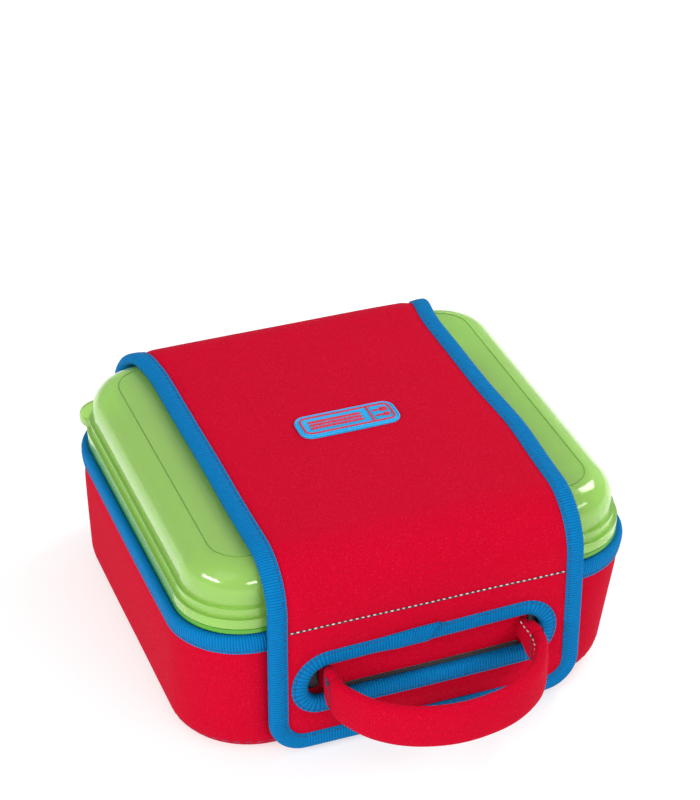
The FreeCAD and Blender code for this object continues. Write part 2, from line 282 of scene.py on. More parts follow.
def tape(name, path, place, width, thick, material, caps=True, lift=None):
    """A binding folded over an edge that runs along a path of points and inward normals."""
    points, normals = path
    fold = TAPE_LIP + [(0.0, 0.5)] + [(w, 1 - d) for w, d in reversed(TAPE_LIP)]
    along = lengths(points)
    whole_ribs = round(along[-1] / RIB) * RIB / along[-1]
    rows = []
    for i, (p, n) in enumerate(zip(points, normals)):
        raised, wider, skew = lift(along[i] / along[-1]) if lift else (0.0, 1.0, 0.0)
        ahead = (points[min(i + 1, len(points) - 1)] - points[max(i - 1, 0)]).normalized()
        row = []
        for w, d in fold:
            q = p + n * (w * width * wider) + ahead * ((w - 0.5) * width * skew)
            depth = d * thick - (raised if d < 0.5 else -raised * 0.2)
            row.append(place(q.x, q.y, depth))
        rows.append(row)
    vs = [0.0]
    for (w0, d0), (w1, d1) in zip(fold, fold[1:] + fold[:1]):
        vs.append(vs[-1] + math.hypot((w1 - w0) * width, (d1 - d0) * thick))
    return lattice(name, rows, [u * whole_ribs for u in along], vs, material, caps=caps)


# One stitch: distance along it and thickness, both as shares.
STITCH = [(0.0, 0.35), (0.15, 0.85), (0.5, 1.0), (0.85, 0.85), (1.0, 0.35)]


def stitches(name, path, place, inset, depth, material, length=2.3 * MM, gap=1.0 * MM,
             radius=0.24 * MM):
    """A row of sewn stitches, each a small capsule lying in the cloth."""
    points, normals = path
    line = [p + n * inset for p, n in zip(points, normals)]
    along = lengths(line)

    def at(distance):
        k = min(int(np.searchsorted(along, distance, side="right")) - 1, len(line) - 2)
        share = (distance - along[k]) / max(along[k + 1] - along[k], TINY)
        return line[k].lerp(line[k + 1], share)

    verts = []
    faces = []
    uvs = []
    count = max(1, int(along[-1] / (length + gap)))
    pitch = along[-1] / count
    sides = 6
    last = len(STITCH) - 1
    for k in range(count):
        start = pitch * k + gap / 2
        middles = []
        lifted = []
        for share, _ in STITCH:
            q = at(start + (pitch - gap) * share)
            middles.append(place(q.x, q.y, depth))
            lifted.append(place(q.x, q.y, depth - radius))
        base = len(verts)
        for i, (_, size) in enumerate(STITCH):
            forward = (middles[min(i + 1, last)] - middles[max(i - 1, 0)]).normalized()
            up = (lifted[i] - middles[i]).normalized()
            side = forward.cross(up).normalized()
            for j in range(sides):
                a = 2 * math.pi * j / sides
                verts.append(middles[i] + (side * math.cos(a) + up * math.sin(a)) * radius * size)
        for i in range(last):
            for j in range(sides):
                a, b = base + i * sides, base + (i + 1) * sides
                faces.append((a + j, b + j, b + (j + 1) % sides, a + (j + 1) % sides))
                uvs += [(0, 0)] * 4
        for i in (0, last):
            faces.append(tuple(base + i * sides + j for j in range(sides)))
            uvs += [(0, 0)] * sides
    return outward(make_object(name, verts, faces, uvs, material), merge=False)


# ------------------------------------------------------------------ where things lie
BACK_RUN = FLAP_TOP - BACK_R - BACK_HEM
BACK_BEND = BACK_RUN + BACK_R * math.pi / 2
TOP_RUN = BACK_BEND + 2 * FLAP_Y - BACK_R - FRONT_R
FRONT_BEND = TOP_RUN + FRONT_R * math.pi / 2
FLAP_END = FRONT_BEND + FLAP_TOP - FRONT_R - FRONT_HEM
SPLIT = BACK_BEND + (FLAP_Y - BACK_R - SPLIT_Y)
FLARE_START = BACK_BEND + 16 * MM
FLARE_RUN = FLARE_START - BACK_RUN + 8 * MM
FOLD_S = FOLD_Z - BACK_HEM
PEEL_S = BACK_BEND + FLAP_Y - BACK_R - PEEL_Y


def calm(value, reach):
    """0 at 0, rising smoothly to 1 at reach."""
    t = min(max(abs(value) / reach, 0), 1)
    return t * t * (3 - 2 * t)


def flap_place(x, s, depth):
    """The point on the flap at x, s along it from the back hem, and depth in from its outside.

    The flap is a little slack over the lid, flares at the back and is thinner where it folds."""
    slack = calm(s - SPLIT, 15 * MM) * calm(s, 30 * MM)
    right_bow = 1.3 * MM * math.exp(-(((s - TOP_RUN + 45 * MM) / (22 * MM)) ** 2))
    side = 0.5 * MM * noise.noise(Vector((s * 22, 7.3 if x > 0 else 2.1, 0)))
    edge = calm(x, FLAP_X) * (1 if x > 0 else -1)
    x += edge * slack * (side + (right_bow if x > 0 else 0))
    x += FLARE * x / FLAP_X * calm(max(FLARE_START - s, 0), FLARE_RUN)
    depth -= 0.35 * MM * slack * noise.noise(Vector((x * 26, s * 26, 4.7)))
    thinner = 0.36 * math.exp(-(((s - FOLD_S - 1.5 * MM) / (5.5 * MM)) ** 2))
    depth -= thinner * max(depth, 0)
    if s < BACK_RUN:
        return Vector((x, FLAP_Y - depth, BACK_HEM + s))
    if s < BACK_BEND:
        a = (s - BACK_RUN) / BACK_R
        r = BACK_R - depth
        return Vector((x, FLAP_Y - BACK_R + r * math.cos(a), FLAP_TOP - BACK_R + r * math.sin(a)))
    if s < TOP_RUN:
        return Vector((x, FLAP_Y - BACK_R - (s - BACK_BEND), FLAP_TOP - depth))
    if s < FRONT_BEND:
        a = (s - TOP_RUN) / FRONT_R
        r = FRONT_R - depth
        return Vector((x, -FLAP_Y + FRONT_R - r * math.sin(a), FLAP_TOP - FRONT_R + r * math.cos(a)))
    return Vector((x, -FLAP_Y + depth, FLAP_TOP - FRONT_R - (s - FRONT_BEND)))


def front_s(z):
    """Distance along the flap of a height on its front."""
    return FRONT_BEND + FLAP_TOP - FRONT_R - z


FRONT_HALF = TRAY_X - TRAY_R
SIDE_HALF = TRAY_Y - TRAY_R
CORNER_RUN = TRAY_R * math.pi / 2
HALF_ROUND = 2 * FRONT_HALF + 2 * SIDE_HALF + 2 * CORNER_RUN


def tray_place(t, z, depth):
    """The point at t round the tray from the front's middle, at height z, depth in from outside."""
    low = (TRAY_TOP - TAPE - z) / (TRAY_TOP - TAPE)
    depth -= 0.4 * MM * noise.noise(Vector((t * 14, z * 20, 1.3))) * calm(z - TRAY_TOP, 12 * MM)
    if z < BOTTOM_R:
        depth += BOTTOM_R - math.sqrt(max(BOTTOM_R ** 2 - (BOTTOM_R - z) ** 2, 0))
    radius = TRAY_R + CORNER_GROWTH * low
    sign, taper = (1, TAPER_RIGHT) if t >= 0 else (-1, TAPER_LEFT)
    middle_x = sign * (TRAY_X - taper * low - radius)
    reach = radius - depth
    d = abs(t)
    if d < FRONT_HALF:
        if d > FRONT_FLAT:
            share = (d - FRONT_FLAT) / (FRONT_HALF - FRONT_FLAT)
            d = FRONT_FLAT + share * (abs(middle_x) - FRONT_FLAT)
        return Vector((sign * d, -TRAY_Y + depth, z))
    d -= FRONT_HALF
    side = TRAY_Y - radius
    if d < CORNER_RUN:
        a = d / CORNER_RUN * math.pi / 2
        return Vector((middle_x + sign * reach * math.sin(a), -side - reach * math.cos(a), z))
    d -= CORNER_RUN
    if d < 2 * SIDE_HALF:
        return Vector((middle_x + sign * reach, -side + d / SIDE_HALF * side, z))
    d -= 2 * SIDE_HALF
    if d < CORNER_RUN:
        a = d / CORNER_RUN * math.pi / 2
        return Vector((middle_x + sign * reach * math.cos(a), side + reach * math.sin(a), z))
    d -= CORNER_RUN
    return Vector((middle_x - middle_x * d / FRONT_HALF, TRAY_Y - depth, z))


# ------------------------------------------------------------------ materials
CREASE_WIDTH = 0.7 * MM


class Shader:
    """A Principled material and short ways to add nodes to it."""

    def __init__(self, name, **values):
        self.material = bpy.data.materials.new(name)
        self.material.use_nodes = True
        self.tree = self.material.node_tree
        self.surface = self.tree.nodes["Principled BSDF"]
        for socket, value in values.items():
            self.surface.inputs[socket.replace("_", " ")].default_value = value

    def add(self, kind, settings=None, **inputs):
        node = self.tree.nodes.new("ShaderNode" + kind)
        for key, value in (settings or {}).items():
            setattr(node, key, value)
        for key, value in inputs.items():
            self.link(value, node.inputs[int(key[1:])] if key[0] == "i" and key[1:].isdigit()
                      else node.inputs[key.replace("_", " ")])
        return node

    def link(self, value, socket):
        if isinstance(value, bpy.types.NodeSocket):
            self.tree.links.new(value, socket)
        else:
            socket.default_value = value

    def place(self):
        return self.add("TexCoord").outputs["Object"]

    def cloth(self):
        return self.add("UVMap", {"uv_map": "cloth"}).outputs["UV"]

    def noise(self, where, scale, detail=2.0, rough=0.5):
        return self.add("TexNoise", Vector=where, Scale=scale, Detail=detail,
                        Roughness=rough).outputs["Fac"]

    def ramp(self, factor, low, high, start=0.0, end=1.0):
        node = self.add("ValToRGB", Fac=factor)
        node.color_ramp.elements[0].position = start
        node.color_ramp.elements[0].color = (*low, 1)
        node.color_ramp.elements[1].position = end
        node.color_ramp.elements[1].color = (*high, 1)
        return node.outputs["Color"]

    def mix(self, factor, a, b, mode="MIX"):
        node = self.add("Mix", {"data_type": "RGBA", "blend_type": mode})
        self.link(factor, node.inputs[0])
        self.link(a if isinstance(a, bpy.types.NodeSocket) else (*a, 1), node.inputs[6])
        self.link(b if isinstance(b, bpy.types.NodeSocket) else (*b, 1), node.inputs[7])
        return node.outputs[2]

    def maths(self, operation, a, b=0.0):
        node = self.add("Math", {"operation": operation})
        self.link(a, node.inputs[0])
        self.link(b, node.inputs[1])
        return node.outputs[0]

    def bump(self, height, strength, distance, normal=None):
        node = self.add("Bump", Height=height, Strength=strength, Distance=distance)
        if normal is not None:
            self.link(normal, node.inputs["Normal"])
        return node.outputs["Normal"]

    def finish(self, colour=None, rough=None, normal=None):
        if colour is not None:
            self.link(colour, self.surface.inputs["Base Color"])
        if rough is not None:
            self.link(rough, self.surface.inputs["Roughness"])
        if normal is not None:
            self.link(normal, self.surface.inputs["Normal"])
        return self.material


def jersey(name, dark, base, light):
    """Foam faced with fine knitted jersey: a close grain with pale flecks."""
    s = Shader(name, Sheen_Weight=0.06, Sheen_Roughness=0.5, Sheen_Tint=(1.0, 0.1, 0.2, 1),
               Specular_IOR_Level=0.05)
    where = s.place()
    fine = s.noise(where, 2100, 2.0, 0.7)
    knit = s.add("TexVoronoi", Vector=where, Scale=1500.0).outputs["Distance"]
    broad = s.noise(where, 34, 2.0)
    colour = s.ramp(fine, dark, base, 0.3, 0.55)
    flecks = s.ramp(s.noise(where, 1700, 1.0), (0, 0, 0), (1, 1, 1), 0.62, 0.76)
    colour = s.mix(s.maths("MULTIPLY", flecks, 0.4), colour, light)
    colour = s.mix(s.maths("MULTIPLY", broad, 0.22), colour, dark)
    rough = s.maths("ADD", s.maths("MULTIPLY", fine, 0.2), 0.72)
    grain = s.bump(knit, 0.35, 0.25 * MM)
    return s.finish(colour, rough, s.bump(fine, 0.3, 0.2 * MM, grain))


def ribbed(name, dark, base, light):
    """Woven binding tape: close cross ribs and fine threads along it."""
    s = Shader(name, Sheen_Weight=0.04, Sheen_Roughness=0.4, Sheen_Tint=(0.1, 0.6, 1.0, 1),
               Specular_IOR_Level=0.06)
    uv = s.cloth()
    split = s.add("SeparateXYZ", Vector=uv)
    wobble = s.maths("MULTIPLY", s.noise(s.place(), 180, 1.0), 0.35 * MM)
    turns = s.maths("MULTIPLY", s.maths("ADD", split.outputs["X"], wobble), 2 * math.pi / RIB)
    rib = s.maths("ADD", s.maths("MULTIPLY", s.maths("SINE", turns), 0.5), 0.5)
    across = s.maths("MULTIPLY", split.outputs["Y"], 2 * math.pi / (0.5 * MM))
    thread = s.maths("ADD", s.maths("MULTIPLY", s.maths("SINE", across), 0.5), 0.5)
    height = s.maths("ADD", rib, s.maths("MULTIPLY", thread, 0.35))
    colour = s.ramp(rib, dark, base, 0.0, 0.6)
    worn = s.noise(s.place(), 420, 3.0)
    colour = s.mix(s.maths("MULTIPLY", worn, 0.35), colour, light)
    rough = s.maths("SUBTRACT", 0.78, s.maths("MULTIPLY", rib, 0.18))
    return s.finish(colour, rough, s.bump(height, 0.75, 0.28 * MM))


def thread(name, colour, other):
    """Twisted sewing thread."""
    s = Shader(name, Specular_IOR_Level=0.4)
    where = s.place()
    twist = s.noise(where, 2600, 1.0)
    return s.finish(s.mix(s.noise(where, 260, 1.0), colour, other), 0.55, s.bump(twist, 0.5, 0.1 * MM))


def pile(name, dark, light):
    """Brushed loop fabric."""
    s = Shader(name, Sheen_Weight=0.5, Sheen_Roughness=0.6, Specular_IOR_Level=0.2)
    where = s.place()
    fuzz = s.noise(where, 1100, 4.0, 0.8)
    return s.finish(s.ramp(fuzz, dark, light, 0.35, 0.75), 0.95, s.bump(fuzz, 0.9, 0.5 * MM))


def moulded(name, colour, other, rough):
    """Soft moulded rubber or plastic with a fine even grain."""
    s = Shader(name, Specular_IOR_Level=0.45)
    where = s.place()
    grain = s.noise(where, 1800, 2.0)
    patch = s.noise(where, 120, 2.0)
    tone = s.mix(s.maths("MULTIPLY", patch, 0.6), colour, other)
    return s.finish(tone, s.maths("ADD", rough, s.maths("MULTIPLY", patch, 0.12)),
                    s.bump(grain, 0.15, 0.08 * MM))


def translucent(name, colour, other, clear, crease=None):
    """Frosted translucent plastic with a polished skin and faint flow marks.

    crease is half-width, half-depth, corner radius and lowest height of a line of painted shade along the
    crease round the top."""
    s = Shader(name, IOR=1.35, Specular_IOR_Level=0.5, Coat_Weight=0.7, Coat_Roughness=0.03,
               Transmission_Weight=clear)
    where = s.place()
    flow = s.noise(where, 16, 2.0)
    fine = s.noise(where, 240, 2.0)
    colour = s.mix(s.maths("MULTIPLY", flow, 0.6), colour, other)
    if crease:
        half_x, half_y, radius, low = crease
        at = s.add("SeparateXYZ", Vector=where)
        reach_x = s.maths("SUBTRACT", s.maths("ABSOLUTE", at.outputs["X"]), half_x - radius)
        reach_y = s.maths("SUBTRACT", s.maths("ABSOLUTE", at.outputs["Y"]), half_y - radius)
        corner = s.add("CombineXYZ", X=s.maths("MAXIMUM", reach_x, 0.0),
                       Y=s.maths("MAXIMUM", reach_y, 0.0)).outputs["Vector"]
        beyond = s.add("VectorMath", {"operation": "LENGTH"}, i0=corner).outputs["Value"]
        inside = s.maths("MINIMUM", s.maths("MAXIMUM", reach_x, reach_y), 0.0)
        away = s.maths("ABSOLUTE", s.maths("SUBTRACT", s.maths("ADD", beyond, inside), radius))
        line = s.maths("LESS_THAN", away, CREASE_WIDTH / 2)
        line = s.maths("MULTIPLY", line, s.maths("GREATER_THAN", at.outputs["Z"], low))
        # Painted shade: the crease line is darkened towards deep green.
        colour = s.mix(s.maths("MULTIPLY", line, 0.3), colour, (0.10, 0.40, 0.02))
    rough = s.maths("ADD", 0.14, s.maths("MULTIPLY", fine, 0.08))
    return s.finish(colour, rough, s.bump(flow, 0.12, 1.0 * MM))


RED = jersey("jersey_red", (0.36, 0.0, 0.011), (0.54, 0.0, 0.020), (0.68, 0.03, 0.08))
BLUE = ribbed("tape_blue", (0.0, 0.09, 0.26), (0.0, 0.165, 0.44), (0.0, 0.25, 0.58))
THREAD_DARK = thread("thread_navy", (0.01, 0.03, 0.09), (0.02, 0.08, 0.2))
THREAD_PALE = thread("thread_pale", (0.75, 0.72, 0.74), (0.5, 0.42, 0.45))
THREAD_BLACK = thread("thread_black", (0.015, 0.015, 0.02), (0.06, 0.05, 0.06))
LOOP = pile("loop_black", (0.002, 0.002, 0.003), (0.016, 0.016, 0.02))
HOOK = moulded("hook_black", (0.01, 0.01, 0.014), (0.03, 0.03, 0.045), 0.35)
RUBBER = moulded("rubber_blue", (0.0, 0.36, 0.74), (0.0, 0.30, 0.64), 0.5)
RUBBER_RED = moulded("rubber_red", (0.60, 0.015, 0.05), (0.5, 0.01, 0.04), 0.42)
CREASE_SHADE_LINE = (78.4 * MM, 71.7 * MM, 12.9 * MM, lid_high.z - 2 * MM)
LID_GREEN = translucent("plastic_lid", (0.54, 0.90, 0.20), (0.47, 0.86, 0.15), 0.62, CREASE_SHADE_LINE)
# Painted shade: the base is the lid's plastic made darker, to stand in for the shade in the gap inside the
# jacket.
BASE_GREEN_SHADED = translucent("plastic_base_shaded", (0.09, 0.38, 0.015), (0.07, 0.33, 0.01), 0.1)
PIN = moulded("pin_green", (0.32, 0.55, 0.10), (0.26, 0.46, 0.08), 0.3)


def dress(obj, slot, *nodes):
    """Hides the nodes that a piece stands for; slot is not used."""
    if nodes:
        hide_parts(*nodes)
    return obj


def over_back(obj):
    """Bakes the transform of a piece on the back and top of the flap into its mesh."""
    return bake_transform(obj)


def over_front(obj):
    """Bakes the transform of a piece on the top and front of the flap into its mesh."""
    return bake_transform(obj)


STITCH_LINE = front_s(loop_high.z)
slot_s0 = front_s(slot_high.z) + SLOT_TAPE
slot_s1 = front_s(slot_low.z) - SLOT_TAPE
hole = (slot_low.x + SLOT_TAPE, slot_high.x - SLOT_TAPE, slot_s0, slot_s1)
slot_r = (slot_s1 - slot_s0) / 2
slot_middle = Vector(((hole[0] + hole[1]) / 2, (hole[2] + hole[3]) / 2))


def slot_corners(grow):
    """The slot's corners with their radii: it leans a little, and its upper left is rounder."""
    x0, x1, s0, s1 = hole[0] - grow, hole[1] + grow, hole[2] - grow, hole[3] + grow
    return [
        (x0, s0 + 1.4 * MM, slot_r * 1.18 + grow), (x0, s1 + 0.8 * MM, slot_r * 0.72 + grow),
        (x1, s1 - 0.6 * MM, slot_r * 1.0 + grow), (x1, s0 - 1.2 * MM, slot_r * 0.98 + grow),
    ]


def slot_distance(x, s, grow=0.0):
    """Distance outside the slot; negative inside it."""
    lean = (x - slot_middle.x) / (hole[1] - hole[0])
    return box_distance(x, s + lean * 2.0 * MM - 0.2 * MM, hole[0] - grow, hole[1] + grow,
                        hole[2] - grow, hole[3] + grow, slot_r * 0.95 + grow)


def flap_outline(end, radius, margin):
    """The bound edge of one half of the flap, open at the split: left edge, hem, right edge."""
    x = FLAP_X - margin
    stop = end - margin if end > SPLIT else end + margin
    corners = [(-x, SPLIT, 0), (-x, stop, radius - margin), (x, stop, radius - margin), (x, SPLIT, 0)]
    return corners if end > SPLIT else corners[::-1]


def flap_half(name, end, radius, with_slot):
    """One half of the flap's foam, from the split on top to its hem."""
    under = FLAP_TAPE
    low, high = min(end, SPLIT), max(end, SPLIT)
    outer_loop, _ = rounded_line(flap_outline(end, radius, under))
    edges = [FLAP_X - FLAP_TAPE_WIDTH - k * 1.3 * MM for k in range(5)]
    xs = steps(-FLAP_X, FLAP_X, STEP, [q for e in edges for q in (e, -e)])
    across = [Vector((x, SPLIT)) for x in xs if abs(x) < FLAP_X - under - MM]
    outer_loop += sorted(across, key=lambda p: (p - outer_loop[-1]).length)
    loops = [outer_loop]
    if with_slot:
        loops.append(rounded_line(slot_corners(under), closed=True)[0])
    beyond = 2 * radius
    span = (low - beyond, high - under) if end > SPLIT else (low + under, high + beyond)

    def outside(x, s):
        edge = box_distance(x, s, -FLAP_X + under, FLAP_X - under, *span, radius - under)
        edge = max(edge, low - s, s - high)
        if with_slot:
            edge = max(edge, -slot_distance(x, s, under))
        return edge

    def puff(x, s):
        """Depth of the outer face: the foam swells between its bound and sewn lines."""
        reach = box_distance(x, s, -FLAP_X, FLAP_X, *span, radius) + FLAP_TAPE_WIDTH
        near = calm(min(reach, 0), 5 * MM)
        if with_slot:
            near *= calm(max(slot_distance(x, s, SLOT_TAPE), 0), 4 * MM)
            near *= 0.35 + 0.65 * calm(s - STITCH_LINE, 2.2 * MM)
        return under + 0.15 * MM - 0.75 * MM * near

    extra = [STITCH_LINE + k * 1.1 * MM for k in (-2, -1, 0, 1, 2)] if with_slot else []
    crease = PEEL_S if with_slot else FOLD_S
    extra += [crease + k * 1.2 * MM for k in range(-2, 6)]
    ss = steps(low, high, STEP, extra)
    return panel(name, loops, outside, xs, ss, flap_place, puff,
                 lambda x, s: FLAP_THICK - FLAP_TAPE, RED, open_at=lambda p: abs(p.y - SPLIT) < ON_LINE)


flap_over = flap_half("flap_over", 0.0, BACK_HEM_R, False)
over_back(dress(flap_over, "foam_red", "flap_back_panel", "flap_top_panel"))
flap_fore = flap_half("flap_fore", FLAP_END, FRONT_HEM_R, True)
over_front(dress(flap_fore, "foam_red", "flap_front_panel"))


def edge_path(end, radius):
    """The outer edge of one half of the flap with normals that point inwards."""
    points, normals = rounded_line(flap_outline(end, radius, 0))
    middle = Vector((0, (SPLIT + end) / 2))
    flip = 1 if normals[2].dot(middle - points[2]) > 0 else -1
    return points, [n * flip for n in normals]


for name, end, radius, bend, nodes in (
    ("over", 0.0, BACK_HEM_R, over_back,
     ("flap_binding_back", "flap_binding_top_left", "flap_binding_top_right")),
    ("fore", FLAP_END, FRONT_HEM_R, over_front, ("flap_binding_front",)),
):
    path = edge_path(end, radius)
    piece = tape("flap_tape_" + name, path, flap_place, FLAP_TAPE_WIDTH, FLAP_THICK, BLUE, caps=False)
    bend(dress(piece, "tape_blue", *nodes))
    piece = stitches("flap_tape_stitches_" + name, path, flap_place, FLAP_TAPE_WIDTH * SEWN,
                     FLAP_THICK * SEWN_DEPTH, THREAD_DARK)
    bend(dress(piece, "thread_dark"))

# ---- slot binding, with its ends lapped on the top run ----
LAP_FROM = 0.9
lap_start = -14 * MM
lap_end = 2 * MM
corners = slot_corners(0)
top_left, top_right = Vector(corners[0][:2]), Vector(corners[3][:2])


def on_top(x):
    """The point of the slot's top edge at x, as a path end."""
    return (*top_left.lerp(top_right, (x - top_left.x) / (top_right.x - top_left.x)), 0)


slot_run = [on_top(lap_start)] + corners[::-1] + [on_top(lap_end)]
points, normals = rounded_line(slot_run, step=1.6 * MM)
flip = -1 if normals[0].dot(slot_middle - points[0]) > 0 else 1
slot_path = (points, [n * flip for n in normals])


def lapped(share):
    """The last stretch lies over the first: how far raised, how much wider, and how aslant."""
    over = max(0.0, (share - LAP_FROM) / (1 - LAP_FROM))
    return 0.75 * MM * min(over * 3, 1), 1 + 0.14 * min(over * 1.6, 1), 0.9 * over ** 2


piece = tape("slot_tape", slot_path, flap_place, SLOT_TAPE, FLAP_THICK, BLUE, lift=lapped)
over_front(dress(piece, "tape_blue", "slot_binding"))
piece = stitches("slot_tape_stitches", slot_path, flap_place, SLOT_TAPE * SEWN,
                 FLAP_THICK * SEWN_DEPTH, THREAD_DARK)
over_front(dress(piece, "thread_dark"))

# ---- stitch line that holds the loop lining, and the lining ----
line_half = FLAP_X - FLAP_TAPE_WIDTH - 0.5 * MM
seam = rounded_line([(-line_half, STITCH_LINE, 0), (line_half, STITCH_LINE, 0)], step=1.2 * MM)
piece = stitches("lining_stitches", seam, flap_place, 0, 0.5 * MM, THREAD_PALE,
                 length=1.35 * MM, gap=1.0 * MM, radius=0.3 * MM)
over_front(dress(piece, "foam_red"))
# Painted shadow: a near-continuous black line just below the pale stitches stands in for their shadow.
piece = stitches("lining_stitch_shadow", seam, flap_place, 0.15 * MM, 0.6 * MM, THREAD_BLACK,
                 length=3.3 * MM, gap=0.1 * MM, radius=0.42 * MM)
over_front(dress(piece, "thread_dark"))

lining_box = (loop_low.x, loop_high.x, front_s(loop_high.z), front_s(loop_low.z))
LINING_R = 7 * MM


def box_loop(bounds, radius):
    """The outline of a rounded rectangle."""
    x0, x1, y0, y1 = bounds
    corners = [(x0, y0, radius), (x0, y1, radius), (x1, y1, radius), (x1, y0, radius)]
    return rounded_line(corners, closed=True)[0]


def grid(bounds, step):
    """Evenly spaced values across a rectangle and up it."""
    return steps(bounds[0], bounds[1], step), steps(bounds[2], bounds[3], step)


def lining_outside(x, s):
    return max(box_distance(x, s, *lining_box, LINING_R), -slot_distance(x, s, SLOT_TAPE))


def lining_back(x, s):
    """Depth of the lining's brushed face."""
    return FLAP_THICK - 0.3 * MM + 0.1 * MM * noise.noise(Vector((x * 900, s * 900, 0)))


piece = panel(
    "loop_face",
    [box_loop(lining_box, LINING_R), rounded_line(slot_corners(SLOT_TAPE), closed=True)[0]],
    lining_outside, *grid(lining_box, STEP), flap_place,
    lambda x, s: FLAP_THICK - FLAP_TAPE - 0.1 * MM, lining_back, LOOP,
)
over_front(dress(piece, "lining_black", "loop_lining"))

# ---- painted shadow: a strip of black loop fabric standing in for the dark gap just above the slot's lower binding ----
SHADOW_STRIP_SHOWS = 0.9 * MM
SHADOW_STRIP_R = 0.8 * MM
shadow_strip_box = (hole[0] + slot_r, hole[1] - slot_r, hole[3] - SHADOW_STRIP_SHOWS, hole[3] + 4 * MM)


def shadow_strip_place(x, s, depth):
    """As flap_place, leaning with the slot's lower edge."""
    lean = (x - slot_middle.x) / (hole[1] - hole[0])
    return flap_place(x, s - lean * 1.4 * MM + 0.1 * MM, depth)


piece = panel(
    "shadow_gap_strip", [box_loop(shadow_strip_box, SHADOW_STRIP_R)], lambda x, s: box_distance(x, s, *shadow_strip_box, SHADOW_STRIP_R),
    *grid(shadow_strip_box, STEP), shadow_strip_place,
    lambda x, s: FLAP_THICK - 0.05 * MM, lambda x, s: FLAP_THICK + 0.2 * MM, LOOP,
)
over_front(dress(piece, "lining_black"))

# ------------------------------------------------------------------ tray
wall_top = TRAY_TOP - TAPE
full = HALF_ROUND
rim_points, _ = rounded_line([(-full, wall_top, 0), (full, wall_top, 0)])


def tray_outer(t, z):
    """The foam is pinched under the binding and full below it."""
    return 0.25 * MM - 0.55 * MM * calm(max(wall_top - z - TAPE_WIDTH, 0), 6 * MM)


tray_low_z = 0.35 * MM
wall_loop = rim_points + [Vector((full, tray_low_z)), Vector((-full, tray_low_z))]
low_rows = [tray_low_z, 0.7 * MM, 1.4 * MM, 2.6 * MM, 4.2 * MM, 6.2 * MM]
tray = panel(
    "tray_foam", [wall_loop], lambda t, z: max(z - wall_top, tray_low_z - z, abs(t) - full),
    steps(-full, full, WALL_STEP), steps(BOTTOM_R, wall_top, WALL_STEP) + low_rows,
    tray_place, tray_outer, lambda t, z: FOAM, RED, open_at=lambda p: abs(abs(p.x) - full) < ON_LINE,
)
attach(dress(tray, "foam_red", "tray_wall"), "jacket")

rim_edge = [p + Vector((0, TAPE)) for p in rim_points]
rim_inward = [Vector((0, -1))] * len(rim_edge)


def rim_place(t, z, depth):
    """As tray_place, for a tape that wraps the foam's top edge."""
    return tray_place(max(min(t, full), -full), z, depth - TAPE)


piece = tape("rim_tape", (rim_edge, rim_inward), rim_place, TAPE_WIDTH, RIM_THICK, BLUE)
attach(dress(piece, "tape_blue", "rim_binding"), "jacket")
piece = stitches("rim_tape_stitches", (rim_edge, rim_inward), rim_place, TAPE_WIDTH * SEWN,
                 RIM_THICK * SEWN_DEPTH, THREAD_DARK)
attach(dress(piece, "thread_dark"), "jacket")

# ---- floor of the tray and its seam ----
LAP = 2 * MM
floor_bounds = (floor_low.x - LAP, floor_high.x + LAP, floor_low.y - LAP, floor_high.y + LAP)
floor_r = 20 * MM
FLOOR_SEAM_Z = 5.2 * MM


def floor_depth(x, y):
    """Height of the underside, which turns up to the wall at its edge."""
    edge = -box_distance(x, y, *floor_bounds, floor_r)
    return 1.2 * MM * (1 - calm(edge, 5 * MM)) + 0.05 * MM


piece = panel(
    "floor_foam", [box_loop(floor_bounds, floor_r)],
    lambda x, y: box_distance(x, y, *floor_bounds, floor_r),
    *grid(floor_bounds, WALL_STEP), lambda x, y, d: Vector((x, y, d)), floor_depth,
    lambda x, y: FOAM, RED,
)
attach(dress(piece, "foam_red", "bottom_panel"), "jacket")
seam_path = rounded_line([(-full, FLOOR_SEAM_Z, 0), (full, FLOOR_SEAM_Z, 0)])
piece = stitches("floor_seam_stitches", seam_path, tray_place, 0, -0.1 * MM, THREAD_DARK,
                 length=2.6 * MM, gap=1.6 * MM)
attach(dress(piece, "thread_dark"), "jacket")

# ---- hook patches ----
HOOK_R = 1.5 * MM
HOOK_STEP = 0.8 * MM


def hooks(x, z):
    """Depth of the field of little hooks."""
    return 0.15 * MM - 0.25 * MM * abs(noise.noise(Vector((x * 700, z * 700, 0))))


for side in ("left", "right"):
    low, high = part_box("hook_patch_" + side)
    bounds = (low.x, high.x, low.z, high.z)
    piece = panel(
        "hook_tape_" + side, [box_loop(bounds, HOOK_R)],
        lambda x, z, b=bounds: box_distance(x, z, *b, HOOK_R), *grid(bounds, HOOK_STEP),
        lambda x, z, d, y=low.y: Vector((x, y + d, z)), hooks, lambda x, z: 0.9 * MM, HOOK,
    )
    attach(dress(piece, "hook_black", "hook_patch_" + side), "jacket")

# ------------------------------------------------------------------ handle
back_face = base_high.y
base_bounds = (base_low.x, base_high.x, base_low.z, base_high.z)
PAD_THICK = 0.9 * MM
PAD_R = 5 * MM


def base_front(x, z):
    """Depth of the pad's face, which falls away at its edge."""
    edge = -box_distance(x, z, *base_bounds, PAD_R)
    return 0.5 * MM * (1 - calm(edge, 4 * MM))


piece = panel(
    "handle_back", [box_loop(base_bounds, PAD_R)],
    lambda x, z: box_distance(x, z, *base_bounds, PAD_R), *grid(base_bounds, STEP),
    lambda x, z, d: Vector((x, back_face - PAD_THICK + d, z)), base_front,
    lambda x, z: PAD_THICK - 0.1 * MM, RED,
)
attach(dress(piece, "foam_red"), "jacket")

